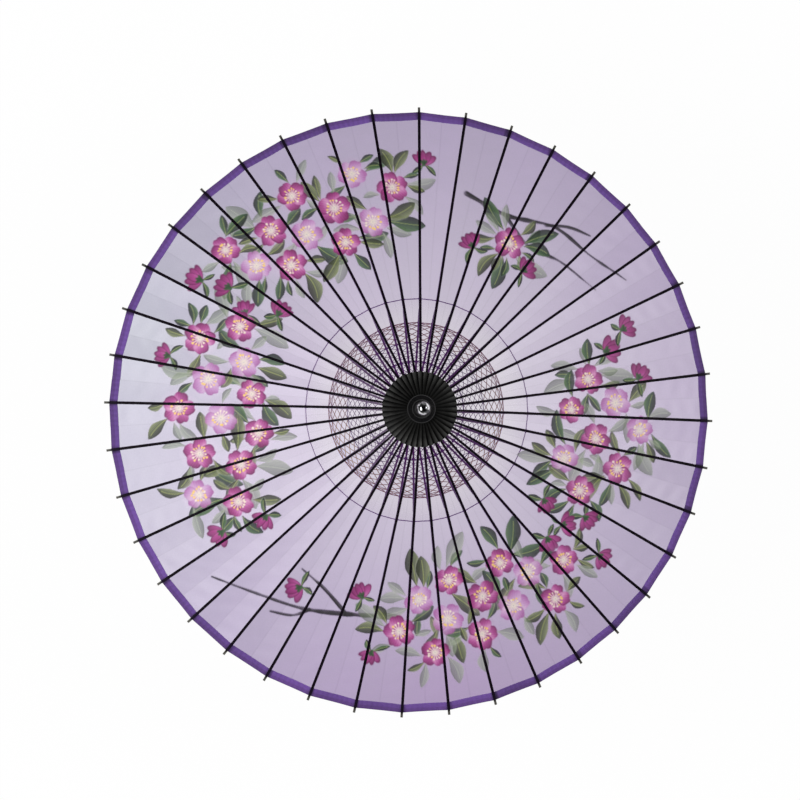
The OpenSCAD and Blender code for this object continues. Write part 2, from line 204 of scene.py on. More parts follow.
# Materials
class Net:
    """A Principled material and a few short ways to wire textures to it."""

    def __init__(self, name, **values):
        self.material = bpy.data.materials.new(name)
        self.material.use_nodes = True
        self.tree = self.material.node_tree
        self.bsdf = self.tree.nodes["Principled BSDF"]
        for key, value in values.items():
            self.bsdf.inputs[key.replace("_", " ")].default_value = value

    def node(self, kind, inputs=None, **settings):
        return add_node(self.tree, kind, inputs, **settings)

    def calc(self, operation, a, b):
        return combine(self.tree, operation, a, b)

    def to(self, socket, key):
        self.tree.links.new(socket, self.bsdf.inputs[key])

    def paint(self):
        """The colour and alpha painted on the mesh."""
        return self.node("Attribute", attribute_name="paint").outputs

    def place(self, scale=(1, 1, 1), shift=(0, 0, 0)):
        """Object coordinates in metres, times scale, plus shift."""
        where = self.node("TexCoord").outputs["Object"]
        inputs = {"Vector": where, "Scale": scale, "Location": shift}
        return self.node("Mapping", inputs).outputs[0]

    def polar(self, along, across, high):
        """Radius, turn about the shaft and height, each times a number."""
        where = self.node("TexCoord").outputs["Object"]
        parts = self.node("SeparateXYZ", {"Vector": where}).outputs
        flat = self.node("CombineXYZ", {"X": parts[0], "Y": parts[1]}).outputs[0]
        radius = self.node("VectorMath", {0: flat}, operation="LENGTH").outputs["Value"]
        turn = self.calc("ARCTAN2", parts[1], parts[0])
        pairs = ((radius, along), (turn, across), (parts[2], high))
        values = [self.calc("MULTIPLY", a, b) for a, b in pairs]
        return self.node("CombineXYZ", dict(zip("XYZ", values))).outputs[0]

    def noise(self, vector, scale, detail, rough=0.55):
        inputs = {"Vector": vector, "Scale": scale, "Detail": detail, "Roughness": rough}
        return self.node("TexNoise", inputs).outputs["Fac"]

    def bands(self, vector, direction, **values):
        settings = {"wave_type": "BANDS", "bands_direction": direction}
        return self.node("TexWave", {"Vector": vector, **values}, **settings).outputs["Fac"]

    def ramp(self, fac, *stops):
        """Colours at stops along a texture. A single number is a grey."""
        node = self.node("ValToRGB", {"Fac": fac})
        items = node.color_ramp.elements
        while len(items) < len(stops):
            items.new(0.5)
        for item, (at, colour) in zip(items, stops):
            item.position = at
            item.color = (*np.broadcast_to(colour, 3), 1)
        return node.outputs["Color"]

    def span(self, fac, low, high):
        """A texture's 0 to 1 brought to low to high."""
        inputs = {"Value": fac, "To Min": low, "To Max": high}
        return self.node("MapRange", inputs).outputs[0]

    def rough(self, fac, low, high):
        self.to(self.span(fac, low, high), "Roughness")

    def mix(self, fac, a, b, blend="MIX"):
        inputs = {"Fac": fac, "Color1": a, "Color2": b}
        return self.node("MixRGB", inputs, blend_type=blend).outputs[0]

    def tint(self, base, tone):
        """Base Color: a colour times a tone."""
        self.to(self.mix(1.0, base, tone, "MULTIPLY"), "Base Color")

    def bump(self, height, strength, distance):
        inputs = {"Height": height, "Strength": strength, "Distance": distance}
        self.to(self.node("Bump", inputs).outputs[0], "Normal")


def cover_material(name, gloss):
    """Paper of long fibres both ways, sheerer between them."""
    net = Net(name, Roughness=0.42, Specular_IOR_Level=gloss)
    paint = net.paint()
    place = net.place()
    fibres = net.noise(net.place((900, 140, 0)), 1, 5, 0.7)
    cross = net.noise(net.place((150, 1000, 0)), 1, 5, 0.7)
    cloud = net.noise(place, 26, 3)
    web = net.calc("MAXIMUM", fibres, cross)
    fine = net.ramp(web, (0.3, 0.9), (0.75, 1.06))
    broad = net.ramp(cloud, (0.3, (0.88, 0.86, 0.92)), (0.7, (1.06, 1.07, 1.04)))
    net.tint(paint["Color"], net.mix(0.35, fine, broad))
    inputs = {0: paint["Alpha"], 1: net.span(web, -0.07, 0.06)}
    net.to(net.node("Math", inputs, operation="ADD", use_clamp=True).outputs[0], "Alpha")
    net.rough(cloud, 0.36, 0.48)
    net.bump(net.noise(place, 700, 4), 0.18, 0.0004)
    return net.material


def line_material():
    net = Net("line_lacquer", Roughness=0.45, Specular_IOR_Level=0.03)
    brush = net.noise(net.polar(160, 3000, 0), 1, 4, 0.6)
    net.tint(net.paint()["Color"], net.ramp(brush, (0.3, 0.7), (0.7, (1.4, 1.35, 1.4))))
    net.rough(brush, 0.36, 0.6)
    net.bump(brush, 0.25, 0.0003)
    return net.material


def tape_material():
    net = Net("purple_tape", Roughness=0.7, Specular_IOR_Level=0.15)
    paint = net.paint()
    warp = net.bands(net.polar(1, 420, 0), "Y", Scale=1.0, Distortion=0.6, Detail=1.0)
    weft = net.bands(net.polar(1000, 0, 0), "X", Scale=0.5, Distortion=0.6)
    cloth = net.calc("MULTIPLY", warp, weft)
    cloud = net.noise(net.place(), 60, 3)
    weave = net.ramp(cloth, (0.0, (0.86, 0.85, 0.88)), (1.0, 1.1))
    fade = net.ramp(cloud, (0.3, (0.86, 0.85, 0.88)), (0.7, (1.1, 1.08, 1.08)))
    net.tint(paint["Color"], net.mix(0.5, weave, fade))
    net.to(paint["Alpha"], "Alpha")
    net.bump(cloth, 0.35, 0.0002)
    return net.material


def cap_material():
    net = Net("black_paper", Roughness=0.42, Specular_IOR_Level=0.025)
    crease = net.noise(net.polar(260, 30, 120), 1, 5, 0.65)
    cloud = net.noise(net.place(), 120, 4)
    net.tint(net.paint()["Color"], net.ramp(cloud, (0.3, 0.75), (0.7, (1.25, 1.25, 1.22))))
    net.rough(cloud, 0.34, 0.54)
    net.bump(crease, 0.3, 0.0006)
    return net.material


def bamboo_material():
    """Black lacquer over bamboo, thin at the bare tips."""
    net = Net("lacquered_bamboo", Roughness=0.35, Specular_IOR_Level=0.14)
    grain = net.noise(net.polar(30, 1500, 500), 1, 5, 0.65)
    joints = net.noise(net.polar(9, 6.4, 0), 1, 1)
    radius = net.node("SeparateXYZ", {"Vector": net.polar(1, 0, 0)}).outputs[0]
    tips = {"Value": radius, "From Min": 0.4125, "From Max": 0.4155}
    bare = net.node("MapRange", tips).outputs[0]
    black, brown, worn = (0.004, 0.0035, 0.004), (0.008, 0.007, 0.007), (0.020, 0.016, 0.013)
    dark = net.ramp(grain, (0.25, black), (0.6, brown), (0.8, worn))
    dark = net.mix(net.span(joints, 0.0, 0.35), dark, (0.016, 0.012, 0.011, 1))
    pale = net.ramp(grain, (0.25, (0.035, 0.035, 0.03)), (0.7, (0.11, 0.105, 0.085)))
    net.to(net.mix(bare, dark, pale), "Base Color")
    net.rough(grain, 0.28, 0.5)
    net.bump(grain, 0.35, 0.0003)
    return net.material


def wood_material():
    net = Net("dark_wood", Roughness=0.34, Coat_Weight=0.25, Coat_Roughness=0.18)
    bend = net.noise(net.place((30, 30, 6)), 1, 2)
    rings = net.noise(net.place((420, 420, 14)), 1, 5, 0.6)
    pores = net.noise(net.place((1500, 1500, 60)), 1, 3, 0.6)
    low, mid, high = (0.018, 0.010, 0.008), (0.050, 0.026, 0.017), (0.085, 0.045, 0.027)
    base = net.ramp(net.mix(0.35, rings, bend), (0.28, low), (0.5, mid), (0.72, high))
    net.tint(base, net.ramp(pores, (0.32, (0.55, 0.5, 0.48)), (0.46, 1)))
    net.rough(pores, 0.44, 0.28)
    net.bump(pores, 0.25, 0.0002)
    return net.material


def lacquer_material():
    net = Net("black_lacquer", Roughness=0.2, Specular_IOR_Level=0.25)
    dust = net.noise(net.place(), 380, 5, 0.7)
    wave = net.noise(net.place((90, 90, 30)), 1, 3)
    colour = net.ramp(dust, (0.35, (0.003, 0.003, 0.0036)), (0.75, (0.009, 0.0085, 0.009)))
    net.to(colour, "Base Color")
    net.rough(dust, 0.12, 0.32)
    net.bump(wave, 0.06, 0.001)
    return net.material


# Each metal: colour, worn colour, roughness and grain
METALS = {
    "chrome": ((0.72, 0.72, 0.74), (0.4, 0.4, 0.42), 0.07, (300, 300, 900)),
    "steel": ((0.5, 0.5, 0.51), (0.36, 0.36, 0.37), 0.3, (200, 3000, 3000)),
    "brass": ((0.66, 0.46, 0.19), (0.42, 0.28, 0.11), 0.28, (2500, 2500, 200)),
}


def metal_material(name, colour, worn, rough, stretch):
    net = Net(name, Metallic=1.0, Roughness=rough)
    lines = net.noise(net.place(stretch), 1, 5, 0.6)
    smudge = net.noise(net.place(), 130, 4)
    net.to(net.ramp(smudge, (0.3, worn), (0.62, colour)), "Base Color")
    both = net.mix(0.5, lines, smudge)
    net.rough(both, max(rough - 0.06, 0.03), rough + 0.14)
    net.bump(lines, 0.05, 0.0002)
    return net.material


def knob_material():
    """Chrome with painted reflections: near-black patches stand for dark surroundings mirrored in
    it.
    """
    net = Net("chrome_painted_reflections", Metallic=1.0, Roughness=0.07)
    # Painted reflection: the shift sets where the dark patches fall on the knob
    cloud = net.noise(net.place(shift=(0.03, 0.0, 0.0)), 170, 2)
    colour = net.ramp(cloud, (0.42, (0.76, 0.76, 0.78)), (0.58, (0.07, 0.07, 0.075)))
    net.to(colour, "Base Color")
    net.rough(cloud, 0.03, 0.14)
    net.bump(cloud, 0.05, 0.0002)
    return net.material


def thread_material(name, colour=None):
    """Twisted thread in one colour, or in the colour painted on its mesh."""
    net = Net(name, Roughness=0.75, Specular_IOR_Level=0.15)
    twist = net.noise(net.place((2600, 2600, 2600)), 1, 2)
    fuzz = net.noise(net.place(), 900, 3)
    base = net.paint()["Color"] if colour is None else colour
    net.tint(base, net.ramp(twist, (0.3, 0.62), (0.7, 1.25)))
    net.rough(fuzz, 0.65, 0.9)
    net.bump(twist, 0.5, 0.0003)
    return net.material


# Painting, in plan and in millimetres
SIZE, CELL = 1401, 0.6
AXIS = (np.arange(SIZE) - SIZE // 2) * CELL
ink = np.zeros((SIZE, SIZE, 3))
body = np.zeros((SIZE, SIZE))


def srgb(*colours):
    return np.array(colours, float) / 255


def linear(c):
    c = np.asarray(c, float)
    return np.where(c <= 0.04045, c / 12.92, ((np.maximum(c, 0.04045) + 0.055) / 1.055) ** 2.4)


def soft(distance, blur=0.9):
    return np.clip(0.5 - distance / blur, 0, 1)


def patch(x, y, reach):
    """Slices of the painting round a point, and the millimetres from it."""
    spans = []
    for at in (y, x):
        first = max(int((at - reach) / CELL) + SIZE // 2, 0)
        last = min(int((at + reach) / CELL) + SIZE // 2 + 2, SIZE)
        spans.append(slice(first, max(last, first)))
    X, Y = np.meshgrid(AXIS[spans[1]] - x, AXIS[spans[0]] - y)
    return tuple(spans), X, Y


def lay(where, mask, colour, strength):
    m = mask * strength
    ink[where] = ink[where] * (1 - m[..., None]) + m[..., None] * colour
    body[where] = body[where] * (1 - m) + m


def shade(tone, *colours):
    """Colours along a tone from 0 to 1, and the end ones beyond."""
    at = np.linspace(0, 1, len(colours))
    return np.stack([np.interp(tone, at, [c[k] for c in colours]) for k in range(3)], -1)


def axes(X, Y, angle):
    """Millimetres along a direction and across it."""
    c, s = cos(angle), sin(angle)
    return X * c + Y * s, Y * c - X * s


def from_oval(p, q, middle, long, wide):
    """About the distance outside an oval on the p axis."""
    return (np.hypot((p - middle) / long, q / wide) - 1) * wide


def from_stroke(p, q, first, last):
    """Distance from a straight stroke on the p axis."""
    return np.hypot(np.maximum(np.maximum(first - p, p - last), 0), q)


DEEP = srgb((214, 148, 192), (170, 66, 138), (128, 34, 98))
PALE = srgb((218, 186, 214), (196, 140, 194), (172, 94, 162))
CREAM, YELLOW, HEART = srgb((240, 224, 206), (246, 208, 112), (206, 198, 200))
PETAL_WASH, LEAF_WASH = srgb((216, 180, 218), (196, 190, 204))
VEIN, GREY_VEIN = srgb((186, 192, 112), (196, 200, 182))
BARK, BARK_SHADE = srgb((38, 33, 40), (20, 16, 22))
GREENS = {
    "dark": srgb((24, 32, 26), (50, 80, 48), (98, 126, 80)),
    "olive": srgb((40, 44, 30), (92, 102, 66), (150, 156, 112)),
    "grey": srgb((92, 104, 80), (138, 152, 124), (180, 188, 164)),
}
PETALS, STAMENS = 5, 15
PETAL_TURN = 360 // PETALS


def blossom(x, y, size, pale):
    colours = PALE if pale else DEEP
    start = rng.uniform(0, PETAL_TURN)
    hand = rng.choice((-1, 1))
    where, X, Y = patch(x, y, 1.35 * size)
    lay(where, soft(np.hypot(X, Y) - 0.98 * size, 0.6 * size), PETAL_WASH, 0.4)
    for k in rng.permutation(PETALS):
        a = radians(start + PETAL_TURN * k + rng.uniform(-7, 7))
        long, wide = size * rng.uniform(0.43, 0.5), size * rng.uniform(0.42, 0.5)
        p, q = axes(X, Y, a)
        notch = 0.06 * size * np.exp(-((q / (0.09 * size)) ** 2)) * (p > 0.8 * size)
        wave = 0.02 * size * np.sin(5 * np.arctan2(q, p - 0.5 * size) + 2.1 * k)
        d = from_oval(p, q, 0.55 * size, long, wide) + notch + wave
        side = np.clip(0.5 + hand * q / (1.5 * wide), 0, 1)
        ripple = 0.07 * np.sin(q * 2.0 + k) * np.clip(p / size, 0, 1)
        tone = 1.3 * p / size - 0.34 + 0.6 * (side - 0.5) + ripple + rng.uniform(-0.14, 0.1)
        lay(where, soft(d, 1.4), shade(tone, *colours), 0.84 if pale else 0.94)
        rim = soft(np.abs(d + 0.9) - 0.7, 1.2) * (0.2 + 0.8 * side)
        lay(where, rim, colours[2] * 0.8, 0.3 if pale else 0.6)
    lay(where, soft(np.hypot(X, Y) - 0.22 * size, 0.25 * size), HEART, 0.8)
    for k in range(STAMENS):
        p, q = axes(X, Y, 2 * pi * (k + 0.5) / STAMENS)
        shadow = soft(from_stroke(p, q, 0.3 * size, 0.46 * size) - 0.5, 1.2)
        lay(where, shadow, colours[2] * 0.85, 0.25 if pale else 0.6)
    for k in range(STAMENS):
        a = 2 * pi * (k + rng.uniform(-0.25, 0.25)) / STAMENS
        reach = size * rng.uniform(0.36, 0.52)
        p, q = axes(X, Y, a)
        lay(where, soft(from_stroke(p, q, 0.07 * size, reach) - 0.45), CREAM, 0.85)
        tip = np.hypot(p - reach, q) - rng.uniform(1.0, 1.7)
        lay(where, soft(tip), YELLOW if rng.random() < 0.55 else CREAM, 0.97)


def leaf(x, y, angle, length, width, kind, strength):
    bend = rng.uniform(-0.26, 0.26) * length
    flip = rng.choice((-1, 1))
    dx, dy = 0.5 * length * cos(angle), 0.5 * length * sin(angle)
    where, X, Y = patch(x + dx, y + dy, 0.8 * length)
    p, q = axes(X + dx, Y + dy, angle)
    t = np.clip(p / length, 0, 1)
    q = q - bend * 4 * t * (1 - t) * 0.5
    taper = np.interp(t, [0, 0.5, 1], [0.5, 1, 1])
    half = 0.5 * width * np.sin(pi * t**1.15) ** 0.75 * taper
    d = np.where((p > 0) & (p < length), np.abs(q) - half, 3)
    colours = GREENS[kind]
    streaks = 0.14 * np.sin(q * 3.1 + 0.2 * p)
    tone = 0.48 + 0.5 * flip * q / (0.5 * width) + streaks - 0.2 * t
    lay(where, soft(d - 1.2, 2.4), LEAF_WASH, 0.35 * strength)
    lay(where, soft(d), shade(tone, *colours), strength)
    lay(where, soft(np.abs(d + 0.6) - 0.5) * (flip * q < 0), colours[0], 0.85 * strength)
    vein = soft(np.abs(q) - 0.42) * (t > 0.06) * (t < 0.86)
    lay(where, vein, GREY_VEIN if kind == "grey" else VEIN, 0.8 * strength)


def bud(x, y, angle, size):
    """A half-open blossom from the side, in its green cup."""
    where, X, Y = patch(x, y, 2.8 * size)
    for turn in (-0.95, 0.95, -0.45, 0.45, 0.0):
        p, q = axes(X, Y, angle + turn + rng.uniform(-0.1, 0.1))
        d = from_oval(p, q, 0.95 * size, size, size * rng.uniform(0.42, 0.52))
        tone = 0.3 + 0.45 * p / size * 0.8 + 0.4 * q / size + rng.uniform(-0.12, 0.12)
        lay(where, soft(d), shade(tone, DEEP[0] * 0.92, *DEEP[1:]), 0.97)
        lay(where, soft(np.abs(d + 0.7) - 0.6), DEEP[2] * 0.75, 0.55)
    for turn in (-0.7, 0, 0.7):
        p, q = axes(X, Y, angle + turn)
        d = from_oval(p, q, 0.2 * size, 0.5 * size, 0.2 * size)
        lay(where, soft(d), shade(0.5 + q / size, *GREENS["dark"]), 0.92)


def spline(points, step):
    """Points about a step apart on a smooth curve through the given ones."""
    pts = np.array(points, float)
    pts = np.vstack([2 * pts[0] - pts[1], pts, 2 * pts[-1] - pts[-2]])
    out = []
    for a, b, c, d in zip(pts, pts[1:], pts[2:], pts[3:]):
        n = max(int(np.linalg.norm(c - b) / step), 2)
        square, cube = 2 * a - 5 * b + 4 * c - d, 3 * b - a - 3 * c + d
        for t in np.arange(n)[:, None] / n:
            out.append(0.5 * (2 * b + (c - a) * t + square * t**2 + cube * t**3))
    return np.array(out)


def twig(points, first, last):
    """A brush stroke that thins, breaks up and leaves dry streaks."""
    path = spline(points, 0.8)
    n = len(path)

    def wander(every, low, high):
        stops = np.arange(0, n + every, every)
        return np.interp(np.arange(n), stops, rng.uniform(low, high, len(stops)))

    dry = wander(11, 0.45, 1)
    wobble = wander(14, 0.7, 1.3)
    along = np.gradient(path, axis=0)
    along /= np.linalg.norm(along, axis=1)[:, None]
    for k, (x, y) in enumerate(path):
        width = (first + (last - first) * k / n) * wobble[k]
        where, X, Y = patch(x, y, width + 2)
        ax, ay = along[k]
        streak = 0.72 + 0.28 * np.sin(3.3 * (Y * ax - X * ay) + 0.03 * k)
        lay(where, soft(np.hypot(X, Y) - width, 1.2) * streak, BARK, 0.8 * dry[k])
        edge = np.hypot(X + 0.5 * width * ay, Y - 0.5 * width * ax) - 0.45 * width
        lay(where, soft(edge, 1.0), BARK_SHADE, 0.7 * dry[k])


def at(degrees, radius):
    a = radians(degrees)
    return radius * cos(a), radius * sin(a)


# Each spray: blossoms as turn in degrees, radius and size in millimetres, and 1 where pale
SPRAYS = (
    ((97, 306, 22, 0), (104, 262, 21, 1), (106, 334, 20, 1), (113, 296, 23, 0), (114, 246, 20, 0),
     (121, 336, 21, 0), (123, 280, 22, 1), (130, 312, 22, 0), (132, 258, 22, 0), (139, 290, 21, 1),
     (141, 336, 20, 0)),
    ((156, 262, 21, 0), (163, 306, 22, 0), (166, 240, 21, 1), (173, 282, 23, 1), (176, 222, 20, 0),
     (181, 318, 22, 0), (184, 262, 22, 1), (190, 214, 20, 0), (193, 296, 22, 0), (199, 246, 21, 0),
     (203, 312, 20, 1), (209, 268, 21, 0)),
    ((336, 250, 21, 0), (344, 212, 20, 1), (346, 290, 22, 0), (353, 250, 22, 0), (357, 312, 20, 1),
     (2, 212, 19, 0), (4, 276, 22, 1), (12, 240, 21, 0)),
    ((268, 300, 22, 0), (273, 256, 20, 1), (277, 330, 20, 0), (281, 286, 22, 1), (283, 234, 20, 0),
     (289, 318, 22, 0), (292, 268, 22, 0), (299, 298, 22, 1), (301, 236, 20, 0), (307, 268, 21, 1),
     (309, 322, 21, 0), (317, 288, 21, 0)),
    ((62, 262, 22, 0),),
)
TWIGS = (
    ((78, 306), (66, 296), (54, 318), (43, 324), (33, 346)),
    ((67, 297), (57, 274), (47, 286), (35, 300)),
    ((56, 313), (51, 332), (46, 344)),
    ((267, 280), (255, 288), (243, 306), (232, 324), (221, 354)),
    ((253, 289), (245, 270), (236, 262)),
    ((244, 304), (241, 322), (236, 334)),
)
BUDS = ((89, 338, 90), (148, 300, 150), (150, 338, 160), (147, 226, 60), (214, 306, 220),
        (217, 246, 235), (330, 274, 320), (19, 274, 20), (23, 308, 30), (327, 212, 300),
        (262, 332, 250), (324, 322, 330), (324, 254, 10), (54, 240, 30), (72, 236, 120),
        (239, 284, 200), (169, 340, 170), (152, 264, 100), (10, 312, 60), (256, 262, 120),
        (318, 250, 300))
BRANCHES = (0, 3)  # the thick ones of TWIGS
BRANCH_WIDTH, TWIG_WIDTH, TIP_WIDTH = 3.9, 2.7, 1.3
LEAF_TRIES, LONE_TRIES = 190, 40
LEAF_KINDS = ("dark", "olive", "grey", "dark", "grey", "olive")
TIP_GAP, MIDDLE_GAP = 12, 10  # between leaves
NEAREST, FARTHEST = 92, 380  # radii of leaf tips


def paint_leaves(spray, flowers, tips):
    """Leaves from under a spray's blossoms, where they have room."""
    own = [(*at(d, r), size) for d, r, size, _ in spray]
    for k in range(LEAF_TRIES if len(own) > 1 else LONE_TRIES):
        x, y, size = own[rng.integers(len(own))]
        a = rng.uniform(0, 2 * pi)
        length = rng.uniform(22, 40) if k % 4 else rng.uniform(38, 54)
        bx, by = x + (size - 2) * cos(a), y + (size - 2) * sin(a)
        aim = a + rng.uniform(-0.8, 0.8)
        ex, ey = bx + length * cos(aim), by + length * sin(aim)
        mx, my = (bx + ex) / 2, (by + ey) / 2
        clear = all(
            min(hypot(ex - fx, ey - fy), hypot(mx - fx, my - fy)) > 0.8 * fs
            for fx, fy, fs, _ in flowers
        )
        apart = all(
            hypot(ex - tx, ey - ty) > TIP_GAP and hypot(mx - ux, my - uy) > MIDDLE_GAP
            for tx, ty, ux, uy in tips
        )
        inside = NEAREST < hypot(ex, ey) < FARTHEST
        kind = LEAF_KINDS[rng.integers(len(LEAF_KINDS))]
        if clear and apart and inside:
            tips.append((ex, ey, mx, my))
            width = length * rng.uniform(0.32, 0.46)
            leaf(bx, by, aim, length, width, kind, 0.62 if kind == "grey" else 0.92)


def paint_cover():
    for k, points in enumerate(TWIGS):
        twig([at(*p) for p in points], BRANCH_WIDTH if k in BRANCHES else TWIG_WIDTH, TIP_WIDTH)
    flowers = [(*at(d, r), size, pale) for spray in SPRAYS for d, r, size, pale in spray]
    tips = []
    for spray in SPRAYS:
        paint_leaves(spray, flowers, tips)
    for d, r, degrees in BUDS:
        x, y = at(d, r)
        aim = radians(degrees)
        for turn in (-0.9, 0.8):
            length, width = rng.uniform(17, 27), rng.uniform(6, 9)
            leaf(x, y, aim + pi + turn, length, width, "dark", 0.94)
        bud(x, y, aim, rng.uniform(9.5, 12))
    for k in rng.permutation(len(flowers)):
        blossom(*flowers[k])


def sample(field, x, y):
    """Values of a painted field at points in metres."""
    u = np.clip(x * 1000 / CELL + SIZE // 2, 0, SIZE - 2)
    v = np.clip(y * 1000 / CELL + SIZE // 2, 0, SIZE - 2)
    i, j = u.astype(int), v.astype(int)
    fu, fv = u - i, v - j
    if field.ndim == 3:
        fu, fv = fu[..., None], fv[..., None]
    low = field[j, i] * (1 - fu) + field[j, i + 1] * fu
    high = field[j + 1, i] * (1 - fu) + field[j + 1, i + 1] * fu
    return low * (1 - fv) + high * fv


# Mesh helpers
def make(name, points, faces, materials, paint=None, index=None, uv=None):
    mesh = bpy.data.meshes.new(name)
    points = np.asarray(points, np.float32).reshape(-1, 3)
    faces = np.asarray(faces, np.int32)
    mesh.vertices.add(len(points))
    mesh.vertices.foreach_set("co", points.ravel())
    mesh.loops.add(faces.size)
    mesh.loops.foreach_set("vertex_index", faces.ravel())
    mesh.polygons.add(len(faces))
    starts = np.arange(0, faces.size, faces.shape[1], dtype=np.int32)
    mesh.polygons.foreach_set("loop_start", starts)
    for material in materials:
        mesh.materials.append(material)
    if index is not None:
        mesh.polygons.foreach_set("material_index", np.asarray(index, np.int32))
    mesh.update(calc_edges=True)
    mesh.shade_smooth()
    if paint is not None:
        layer = mesh.color_attributes.new("paint", "FLOAT_COLOR", "POINT")
        layer.data.foreach_set("color", np.asarray(paint, np.float32).ravel())
    if uv is not None:
        layer = mesh.uv_layers.new(name="OFBake")
        corners = np.asarray(uv, np.float32).reshape(-1, 2)[faces.ravel()]
        layer.data.foreach_set("uv", corners.ravel())
    return place_object(name, mesh)


def grid(rows, cols):
    """Faces of a grid of points, and its spread for baking."""
    k = np.arange(rows * cols).reshape(rows, cols)
    faces = np.stack([k[:-1, :-1], k[1:, :-1], k[1:, 1:], k[:-1, 1:]], -1).reshape(-1, 4)
    v, u = np.mgrid[0:rows, 0:cols]
    uv = np.stack([0.01 + 0.98 * u / (cols - 1), 0.01 + 0.98 * v / (rows - 1)], -1)
    return faces, uv


def turned(points, angle):
    c, s = cos(angle), sin(angle)
    x, y, z = np.moveaxis(points, -1, 0)
    return np.stack([x * c - y * s, x * s + y * c, z], -1)


def rings_of(rows, sides):
    """Point numbers of a tube's rings, and of the next points on them."""
    k = np.arange(rows * sides).reshape(rows, sides)
    return k, np.roll(k, -1, 1)


def tube(path, radius, sides=5):
    """Points and faces of a tube along a path, open at its ends."""
    path = np.asarray(path, float)
    along = np.gradient(path, axis=0)
    along /= np.linalg.norm(along, axis=1)[:, None]
    side = np.cross(along, (0.0, 0.0, 1.0))
    side /= np.linalg.norm(side, axis=1)[:, None]
    top = np.cross(side, along)
    turn = 2 * pi * np.arange(sides) / sides
    c, s = np.cos(turn)[None, :, None], np.sin(turn)[None, :, None]
    rings = path[:, None] + radius * (c * side[:, None] + s * top[:, None])
    k, after = rings_of(len(path), sides)
    faces = np.stack([k[:-1], after[:-1], after[1:], k[1:]], -1).reshape(-1, 4)
    return rings.reshape(-1, 3), faces


def loft_faces(rows):
    """Faces of a bar through eight-cornered sections, with flat ends."""
    k, after = rings_of(rows, 8)
    sides = np.stack([k[:-1], k[1:], after[1:], after[:-1]], -1).reshape(-1, 4)
    end = np.array([[0, 1, 2, 3], [0, 3, 4, 7], [4, 5, 6, 7]])
    return np.concatenate([sides, end, (end + (rows - 1) * 8)[:, ::-1]])


class Parts:
    """Tubes and lofts gathered into one mesh."""

    def __init__(self):
        self.points, self.faces, self.paint, self.index, self.count = [], [], [], [], 0

    def add(self, points, faces, colour, index):
        self.points.append(points)
        self.faces.append(faces + self.count)
        self.paint.append(np.tile((*colour, 1), (len(points), 1)))
        self.index.append(np.full(len(faces), index))
        self.count += len(points)

    def arrays(self):
        return map(np.concatenate, (self.points, self.faces, self.paint, self.index))


# Cover, tape and threads
def cover_radius(s, lift):
    return RING + s * cos(SLOPE) + lift * sin(SLOPE)


def half_pitch(r):
    """From a rib at radius r to the fold halfway to the next."""
    return r * sin(STEP / 2) * cos(STEP / 2)


def cover_point(s, lift, t):
    """Point of the cover s along a rib and t to its side."""
    r = cover_radius(s, lift)
    u = np.abs(t) / half_pitch(r)
    x = r - np.abs(t) * tan(STEP / 2)
    sag = COVER_SAG * r * (0.45 * u * (2 - u) + 0.55 * u)
    z = HUB - s * sin(SLOPE) + lift * cos(SLOPE) - sag
    return np.stack(np.broadcast_arrays(x, t, z), -1)


def line_half(s):
    """Half the width of the lacquer line over a rib."""
    along = [0.0, 0.05, 0.10, 0.14, 0.16, 0.40]
    return np.interp(s, along, [0.00135, 0.0016, 0.00175, 0.0018, 0.00165, 0.002])


LINE_BLUR = 0.00009


def across(half, edge, count):
    """Offsets from a rib: the lacquer line's edges are sharp, the rest is even."""
    start, span = edge + LINE_BLUR, half - edge - LINE_BLUR
    outer = start[:, None] + span[:, None] * np.linspace(0, 1, count)
    inner = np.stack([0 * edge, edge - LINE_BLUR], 1)
    right = np.concatenate([inner, outer], 1)
    return np.concatenate([-right[:, :0:-1], right], 1)


def line_faces(rows, cols):
    """1 for the faces of the lacquer line along the middle, else 0."""
    index = np.zeros((rows - 1, cols - 1), int)
    index[:, cols // 2 - 1 : cols // 2 + 1] = 1
    return index.ravel()


COVER_GRID, QUICK_GRID = (361, 25), (121, 11)  # rows along a rib, columns to each side
PAPER = np.array((0.25, 0.130, 0.375))
PAPER_INNER = np.array((0.12, 0.006, 0.18))
# Painted sheen: a paler, less violet tint on the side of the cover that faces the key lamp
PAINTED_SHEEN = np.array((0.03, 0.15, 0.02))
COVER_LINE = np.array((0.005, 0.0032, 0.006))
PAINT_ALPHA = 0.97
RIPPLE, RIPPLE_WAVES = 0.00022, (150, 260)
# Width of the painted shade at each fold between ribs
CREASE = 0.0011


def clearness(r):
    """Alpha of the bare cover at a radius: sheerest over the lacing."""
    radius = [0.03, 0.06, 0.085, 0.11, 0.13, 0.1495, 0.1525, 0.19, 0.25, 0.317, 0.37, 0.42]
    alpha = [0.4, 0.39, 0.395, 0.425, 0.475, 0.543, 0.565, 0.595, 0.642, 0.695, 0.722, 0.742]
    return np.interp(r, radius, alpha)


def painted_sheen_share(x, y):
    """Painted sheen that pales the cover, outwards and most towards -X where the key lamp stands;
    below zero, painted shade.
    """
    around = [15, 110, 165, 215, 280, 330]
    share = [0.0, 0.15, 1.0, 0.4, -0.35, 0.15]
    angle = np.degrees(np.arctan2(y, x))
    outward = np.clip((np.hypot(x, y) - 0.17) / 0.2, 0, 1)
    return np.interp(angle, around, share, period=360) * outward


def riding(piece, i):
    """The piece goes with rib i, on a mesh of its own."""
    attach(piece, f"rib_{i + 1:02d}")
    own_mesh(piece)


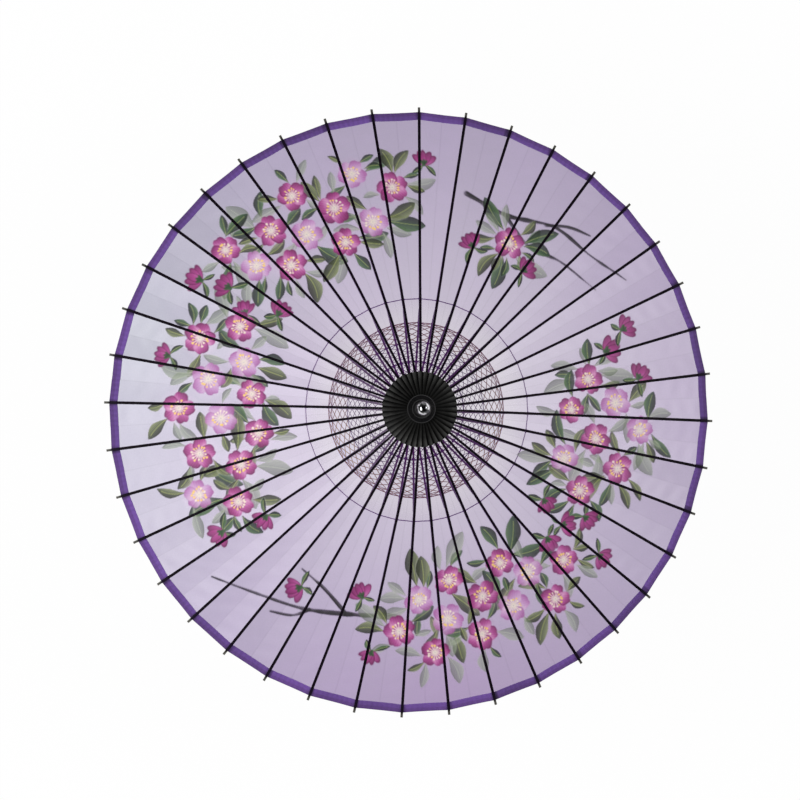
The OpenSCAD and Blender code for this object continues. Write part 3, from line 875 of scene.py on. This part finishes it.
def make_cover(*materials):
    """Panels of bare paper, a lacquer line and painted paper, in that order of materials."""
    rows, count = COVER_GRID
    s = np.linspace(COVER_START, COVER_END, rows)
    half, edge = half_pitch(cover_radius(s, COVER_LIFT)), line_half(s)
    t = across(half, edge, count)
    local = cover_point(s[:, None], COVER_LIFT, t)
    faces, uv = grid(*t.shape)
    index = line_faces(*t.shape)
    gore = rng.uniform(0.94, 1.05, RIBS)
    solid = np.where(body > 1e-4, body, 1)
    colours = np.clip(linear(np.clip(ink / solid[..., None], 0, 1)) - 0.008, 0.002, 1)
    on_line = np.abs(t) < edge[:, None]
    share = np.abs(t) / half[:, None]
    # Painted shade: darker towards each fold halfway between ribs, where the paper is also a
    # little less sheer
    crease = np.clip(1 - (half[:, None] - np.abs(t)) / CREASE, 0, 1)
    for i in range(RIBS):
        ripple = np.zeros_like(t)
        for side in (t > 0, t < 0):
            for wave in RIPPLE_WAVES:
                slant, start = rng.uniform(-120, 120), rng.uniform(0, 6.3)
                phase = wave * s[:, None] + slant * t + start
                ripple += side * np.sin(phase) * rng.uniform(0.3, 1)
        points = local.copy()
        points[..., 2] += RIPPLE * ripple * np.sin(pi * share) * (s[:, None] / COVER_END)
        points = turned(points, i * STEP)
        x, y = points[..., 0], points[..., 1]
        radius = np.hypot(x, y)
        tone = np.where(t > 0, gore[i], gore[i - 1]) * (1 - 0.14 * crease)
        far = np.interp(radius, [0.05, 0.085, 0.1495, 0.1525], [0, 0.1, 0.75, 1])[..., None]
        # Paper with painted sheen towards -X and painted shade towards -Y
        paper_with_sheen = PAPER + PAINTED_SHEEN * painted_sheen_share(x, y)[..., None]
        colour = (PAPER_INNER * (1 - far) + paper_with_sheen * far) * tone[..., None]
        alpha = np.clip(clearness(radius) + 0.03 * crease, 0, 1)
        cover = sample(body, x, y)
        tint = sample(colours, x, y)
        colour = colour * (1 - cover[..., None]) + tint * cover[..., None]
        alpha = alpha * (1 - cover) + PAINT_ALPHA * cover
        worn = 1 + 0.5 * np.clip(rng.normal(0, 1, rows), -1, 1)[:, None, None]
        colour = np.where(on_line[..., None], COVER_LINE * worn, colour)
        alpha = np.where(on_line, 1.0, alpha)
        paint = np.concatenate([colour, alpha[..., None]], -1)
        painted = cover.ravel()[faces].mean(1) > 0.5
        kind = np.where((index == 0) & painted, 2, index)
        piece = make(f"canopy_{i + 1:02d}", points, faces, materials, paint, kind, uv)
        riding(piece, i)
        if i == 0:
            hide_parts("canopy")


# The tape's section round the rim in millimetres: along the rib, and lift
TAPE_ALONG = np.array([0, 0.3, 2.5, 5, 6.2, 6.6, 9, 11.4, 11.9, 12.1, 11.9])
TAPE_RISE = np.array([-0.15, 0.05, 0.1, 0.1, 0.1, 0.22, 0.22, 0.2, 0.05, -0.25, -0.45])
TAPE_PALE, TAPE_DARK = np.array((0.133, 0.06, 0.28)), np.array((0.107, 0.045, 0.214))
TAPE_LINE = (0.008, 0.005, 0.012)
TAPE_TURN = 0.0059  # from the inner edge to the turned edge
TAPE_BOW = 0.0006


def make_tape(material, lacquer):
    """Tape folded over the rim, with its turned edge, and doubled beside each rib."""
    start = COVER_END - TAPE_WIDTH
    s = TAPE_ALONG / 1000 + start
    lift = TAPE_LIFT + TAPE_RISE / 1000
    half, edge = half_pitch(cover_radius(s, lift)), line_half(s)
    t = across(half, edge, 15)
    faces, uv = grid(*t.shape)
    index = line_faces(*t.shape)
    share = np.abs(t) / half[:, None]
    outer = np.clip((s - start - TAPE_TURN) / 0.0006, 0, 1)[:, None, None]
    base = TAPE_PALE * (1 - outer) + TAPE_DARK * outer
    hem = np.where(s > COVER_END - 0.0004, 0.6, 1)[:, None]
    line = np.abs(t) < edge[:, None]
    strip = rng.uniform(0.82, 1.16, RIBS)
    for i in range(RIBS):
        bow = TAPE_BOW * rng.uniform(0.3, 1.6, 2)
        pulled = s[:, None] - np.where(t > 0, bow[0], bow[1]) * share * (2 - share) * 0.6
        points = turned(cover_point(pulled, lift[:, None], t), i * STEP)
        lap = rng.uniform(0.003, 0.008)
        doubled = np.clip((lap - t) / 0.0006, 0, 1) * (t > 0) * rng.uniform(0.2, 0.6)
        beside = (np.abs(t) - edge[:, None]) / (0.0012 + 0.25 * (s[:, None] - start))
        near = np.clip(1 - beside, 0, 1)
        streaks = 1 + 0.12 * np.sin(900 * t + i) * rng.uniform(0.4, 1)
        tone = (1 - doubled) * (1 - 0.5 * near) * hem * streaks
        tone = tone * np.where(t > 0, strip[i], strip[i - 1])
        colour = np.where(line[..., None], TAPE_LINE, base * tone[..., None])
        alpha = np.where(line, 1.0, 0.95 + 0.05 * doubled)
        paint = np.concatenate([colour, alpha[..., None]], -1)
        name = f"rim_tape_{i + 1:02d}"
        piece = make(name, points, faces, [material, lacquer], paint, index, uv)
        riding(piece, i)
        if i == 0:
            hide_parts("rim_tape")


def make_joint_thread(material):
    """Thread from fold to fold through each rib's joint, with a knot at each side."""
    radius, sides, sag = 0.00074, 6, 0.0006
    reach = half_pitch(JOINT_RADIUS)
    right = [0, 0.1, 0.17, 0.24, 0.4, 0.72, 1]
    y = np.array([-share for share in right[:0:-1]] + right) * reach
    x = JOINT_RADIUS - np.abs(y) * tan(STEP / 2)
    z = JOINT_LEVEL - sag * (np.abs(y) / reach)
    path = np.stack([x, y, z], -1)
    points, faces = tube(path, radius, sides)
    ring = points.reshape(len(y), sides, 3)
    swell = np.interp(np.abs(y) / reach, [0, 0.1, 0.17, 0.24, 1], [0.9, 1.0, 1.6, 0.9, 0.9])
    ring = path[:, None] + (ring - path[:, None]) * swell[:, None, None]
    tint = np.tile((0.02, 0.014, 0.032, 1.0), (ring.size // 3, 1))
    for i in range(RIBS):
        name = f"joint_thread_{i + 1:02d}"
        piece = make(name, turned(ring, i * STEP), faces, [material], tint)
        riding(piece, i)
        if i == 0:
            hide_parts("joint_thread")


# Cap
CAP_LIFT = 0.0029  # above the ribs' line


def make_cap(material):
    """Pleats that lap over the next, from the neck out over the ribs."""
    above = ((0.034, 0.0011), (0.039, 0.0005), (0.045, 0.0003), (CAP_RADIUS, 0.0002))
    knots_r = [NECK + 0.0006, 0.0145, 0.0183, 0.0218, 0.025, 0.0292] + [r for r, _ in above]
    knots_z = [0.0122, 0.0109, 0.0092, 0.0075, 0.0057, 0.0024]
    knots_z += [(RING - r) * tan(SLOPE) + CAP_LIFT / cos(SLOPE) + gap for r, gap in above]
    edge = [0.0494, 0.0503, 0.0507, CAP_RADIUS]
    r = np.concatenate([np.linspace(knots_r[0], 0.0482, 26), edge])
    z = HUB + np.interp(r, knots_r, knots_z)
    for _ in range(2):
        z[1:-1] = 0.25 * z[:-2] + 0.5 * z[1:-1] + 0.25 * z[2:]
    u = np.linspace(-1, 1, 17)
    rise = np.interp(r, [0.0125, 0.018, 0.03, CAP_RADIUS], [0.0002, 0.0007, 0.0013, 0.0019])
    profile = ((u + 1) / 2) ** 1.2 - 0.1 * np.clip((u - 0.84) / 0.16, 0, 1)
    # Painted shade across a pleat: darkest in its valley, lightest at its high edge
    pleat_shade = np.interp(u, [-1, -0.45, 0.1, 0.6, 0.9, 1], [0.0, 0.04, 0.55, 1, 1, 0.5])
    stops = [0.013, 0.02, 0.0265, 0.0375, 0.046, CAP_RADIUS]
    ridge = np.interp(r, stops, [0.004, 0.007, 0.011, 0.021, 0.046, 0.05])
    faces, uv = grid(len(r), len(u))
    for i in range(RIBS):
        uneven = rng.uniform(0.8, 1.1)
        angle = (u * 0.5 + 0.035 * (u > 0.9)) * STEP + i * STEP
        stretch = 1 + rng.uniform(-0.016, 0.0) * np.clip((r - 0.03) / 0.02, 0, 1)
        scallop = (0.0003 * (np.cos(3 * u + i) + 1))[None] * (r > 0.0495)[:, None]
        rr = (r * stretch)[:, None] - scallop
        zz = z[:, None] + rise[:, None] * profile[None] * uneven
        points = np.stack([rr * np.cos(angle), rr * np.sin(angle), zz], -1)
        # Painted shade in each pleat's valley, the cap darker towards the neck, and a random tone
        # per pleat
        tone = 0.0015 + rng.uniform(0.72, 1.15) * ridge[:, None] * pleat_shade[None]
        paint = np.stack([tone, tone, 0.97 * tone, np.ones_like(tone)], -1)
        piece = make(f"cap_{i + 1:02d}", points, faces, [material], paint, uv=uv)
        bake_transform(piece)
        if i == 0:
            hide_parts("cap")


def make_cap_tie(material):
    """Thread wound round the cap's neck under the finial."""
    radius, level, pitch, turns = 0.0121, HUB + 0.0129, 0.0005, 2.6
    turn = np.linspace(0, 2 * pi * turns, 150)
    height = level + pitch * turn / (2 * pi)
    path = np.stack([radius * np.cos(turn), radius * np.sin(turn), height], -1)
    points, faces = tube(path, 0.00042, 7)
    piece = make("cap_tie", points, faces, [material])
    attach(piece, "frame")


# Stretchers and lacing
VIOLET, SLATE, UMBER = (0.008, 0.005, 0.12), (0.035, 0.022, 0.05), (0.075, 0.035, 0.015)
RUST, TAN = (0.44, 0.24, 0.004), (0.58, 0.345, 0.01)
BORDER = OUTER - 0.0045  # a second ring inside the outer one
# Each ring of thread: place on the stretcher, colour and radius
LACING_RINGS = ((INNER, VIOLET, 0.0009), (MIDDLE, VIOLET, 0.0006),
                (BORDER, RUST, 0.0005), (OUTER, RUST, 0.00075))
# Each crossed band: both ends, crossings, colour and radius
LACING_BANDS = (
    (INNER - 0.0175, INNER, 2, SLATE, 0.00043),
    (INNER, MIDDLE, 4, SLATE, 0.00043),
    (MIDDLE, BORDER, 3, TAN, 0.00055),
    (BORDER, OUTER, 1, TAN, 0.0005),
)
CROSSING_GAP = 0.0006
KNOTS = ((INNER, VIOLET), (MIDDLE, VIOLET), (OUTER, UMBER))
KNOT_THREAD, KNOT_SHIFTS = 0.0003, (-0.0007, 0.0007)
# Path of a knot round the stretcher, across and up in millimetres
KNOT_PATH = ((1.5, 0), (1.5, 1.7), (1.1, 2.15), (-1.1, 2.15), (-1.5, 1.7), (-1.5, -1.7),
             (-1.1, -2.15), (1.1, -2.15), (1.5, -1.7))
LONG = STRETCHER * 1000
# Sections of a stretcher in millimetres: place, half width and half depth
SECTIONS = (
    (-2.2, 0.65, 1.0), (-1.6, 0.65, 1.35), (9, 0.65, 1.9), (14, 1.3, 1.9), (60, 1.3, 1.9),
    (100, 1.3, 1.85), (LONG - 16, 1.3, 1.85), (LONG - 11, 0.65, 1.7), (LONG, 0.65, 0.95),
    (LONG + 0.75, 0.65, 0.6),
)
CORNER = 0.35


def stretcher_point(s, lift, angle=0.0):
    r = RING + s * cos(STRETCHER_SLOPE) - lift * sin(STRETCHER_SLOPE)
    z = RUNNER + s * sin(STRETCHER_SLOPE) + lift * cos(STRETCHER_SLOPE)
    return np.array((r * cos(angle), r * sin(angle), z))


def outline_at(s, outline):
    """An outline across a stretcher at s, from millimetres across and up."""
    base = stretcher_point(s, 0)
    lift = stretcher_point(s, 1) - base
    return np.array([base + lift * (b / 1000) + np.array((0, a / 1000, 0)) for a, b in outline])


def stretcher_bar():
    rings = []
    for s, w, h in SECTIONS:
        c = min(CORNER, 0.5 * w)
        outline = [(w, h - c), (w - c, h), (c - w, h), (-w, h - c),
                   (-w, c - h), (c - w, -h), (w - c, -h), (w, c - h)]
        rings.append(outline_at(s / 1000, outline))
    return np.array(rings).reshape(-1, 3), loft_faces(len(rings))


def knot(s):
    """A loop of thread round the stretcher at s."""
    sides = 5
    base = stretcher_point(s, 0)
    along = stretcher_point(s + 1, 0) - base
    turn = 2 * pi * np.arange(sides) / sides
    c, d = np.cos(turn)[:, None], np.sin(turn)[:, None]
    rings = []
    for p in outline_at(s, KNOT_PATH):
        outward = (p - base) / np.linalg.norm(p - base)
        rings.append(p + KNOT_THREAD * (c * outward + d * along))
    k, right = rings_of(len(rings), sides)
    faces = np.stack([k, right, np.roll(right, -1, 0), np.roll(k, -1, 0)], -1).reshape(-1, 4)
    return np.array(rings).reshape(-1, 3), faces


def make_stretchers(wood, thread):
    """Each stretcher with its share of the lacing."""
    parts = Parts()
    parts.add(*stretcher_bar(), (0, 0, 0), 0)

    def lace(first, last, lift, colour, radius):
        """Half of a thread to each neighbour, up to the fold between."""
        for side in (1, -1):
            a = stretcher_point(first, lift)
            b = stretcher_point(last, -lift, side * STEP)
            parts.add(*tube(np.linspace(a, (a + b) / 2, 3), radius), colour, 1)

    for s, colour, radius in LACING_RINGS:
        lace(s, s, 0, colour, radius)
    for low, high, count, colour, radius in LACING_BANDS:
        pitch = (high - low) / count
        for k in range(count):
            lace(low + k * pitch, low + (k + 1) * pitch, CROSSING_GAP, colour, radius)
            lace(low + (k + 1) * pitch, low + k * pitch, -CROSSING_GAP, colour, radius)
    for s, colour in KNOTS:
        for shift in KNOT_SHIFTS:
            parts.add(*knot(s + shift), colour, 1)
    points, faces, paint, index = parts.arrays()
    for i in range(RIBS):
        name = f"stretcher_{i + 1:02d}"
        piece = make(name, turned(points, i * STEP), faces, [wood, thread], paint, index)
        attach(piece, "runner")
        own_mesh(piece)
        if i == 0:
            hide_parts("stretchers", "lacing")


# Catch spring and assembly
def make_leaf_spring(material):
    """Leaf behind the catch, from its foot in the shaft to its tip at the catch."""
    pivot, half, corner, rows = 0.3337, 0.0008, 0.00012, 30
    # Both faces from foot to tip: out from the shaft's axis and up, in millimetres
    front = ((-4.5, 0), (-4.5, 4.5), (-4.44, 6), (-4.12, 7.6), (-0.35, 23.4))
    back = ((-5.1, 0), (-5.1, 4.7), (-5.04, 6.3), (-4.7, 8.1), (-0.85, 24))
    flat = half - corner
    sides = []
    for line in np.array((front, back)) / 1000:
        run = np.concatenate([[0], np.cumsum(np.linalg.norm(np.diff(line, axis=0), axis=1))])
        stops = np.linspace(0, run[-1], rows)
        sides.append(np.stack([np.interp(stops, run, line[:, k]) for k in (0, 1)], 1))
    rings = []
    for a, b in zip(*sides):
        inward = (b - a) / np.linalg.norm(b - a) * corner
        outline = [(a, flat), (a + inward, half), (b - inward, half), (b, flat),
                   (b, -flat), (b - inward, -half), (a + inward, -half), (a, -flat)]
        rings.append([(p[0], y, p[1] + pivot) for p, y in outline])
    points = np.array(rings).reshape(-1, 3)
    piece = make("catch_leaf", points, loft_faces(rows), [material])
    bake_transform(piece)
    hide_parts("catch_spring")


def dress(node, material):
    materials = nodes[node].data.materials
    materials.clear()
    materials.append(material)


scene.view_settings.view_transform = "Standard"
set_camera()
set_world()
set_floor()
set_lamps()

bamboo = bamboo_material()
dark_thread = thread_material("dark_thread", (0.045, 0.03, 0.06, 1))
slots = {
    "dark_wood": wood_material(),
    "black_lacquer": lacquer_material(),
    **{name: metal_material(name, *look) for name, look in METALS.items()},
    "dark_thread": dark_thread,
    "lacquered_bamboo": bamboo,
}
for row in frame["record"]["subparts"]:
    if row["material_slot"] in slots:
        dress(row["node"], slots[row["material_slot"]])
dress("finial_tip", knob_material())

paint_cover()
lacquer = line_material()
make_cover(cover_material("oiled_paper", 0.9), lacquer, cover_material("painted_paper", 0.1))
make_tape(tape_material(), lacquer)
painted_thread = thread_material("painted_thread")
make_joint_thread(painted_thread)
make_cap(cap_material())
make_cap_tie(dark_thread)
make_stretchers(bamboo, painted_thread)
make_leaf_spring(slots["steel"])
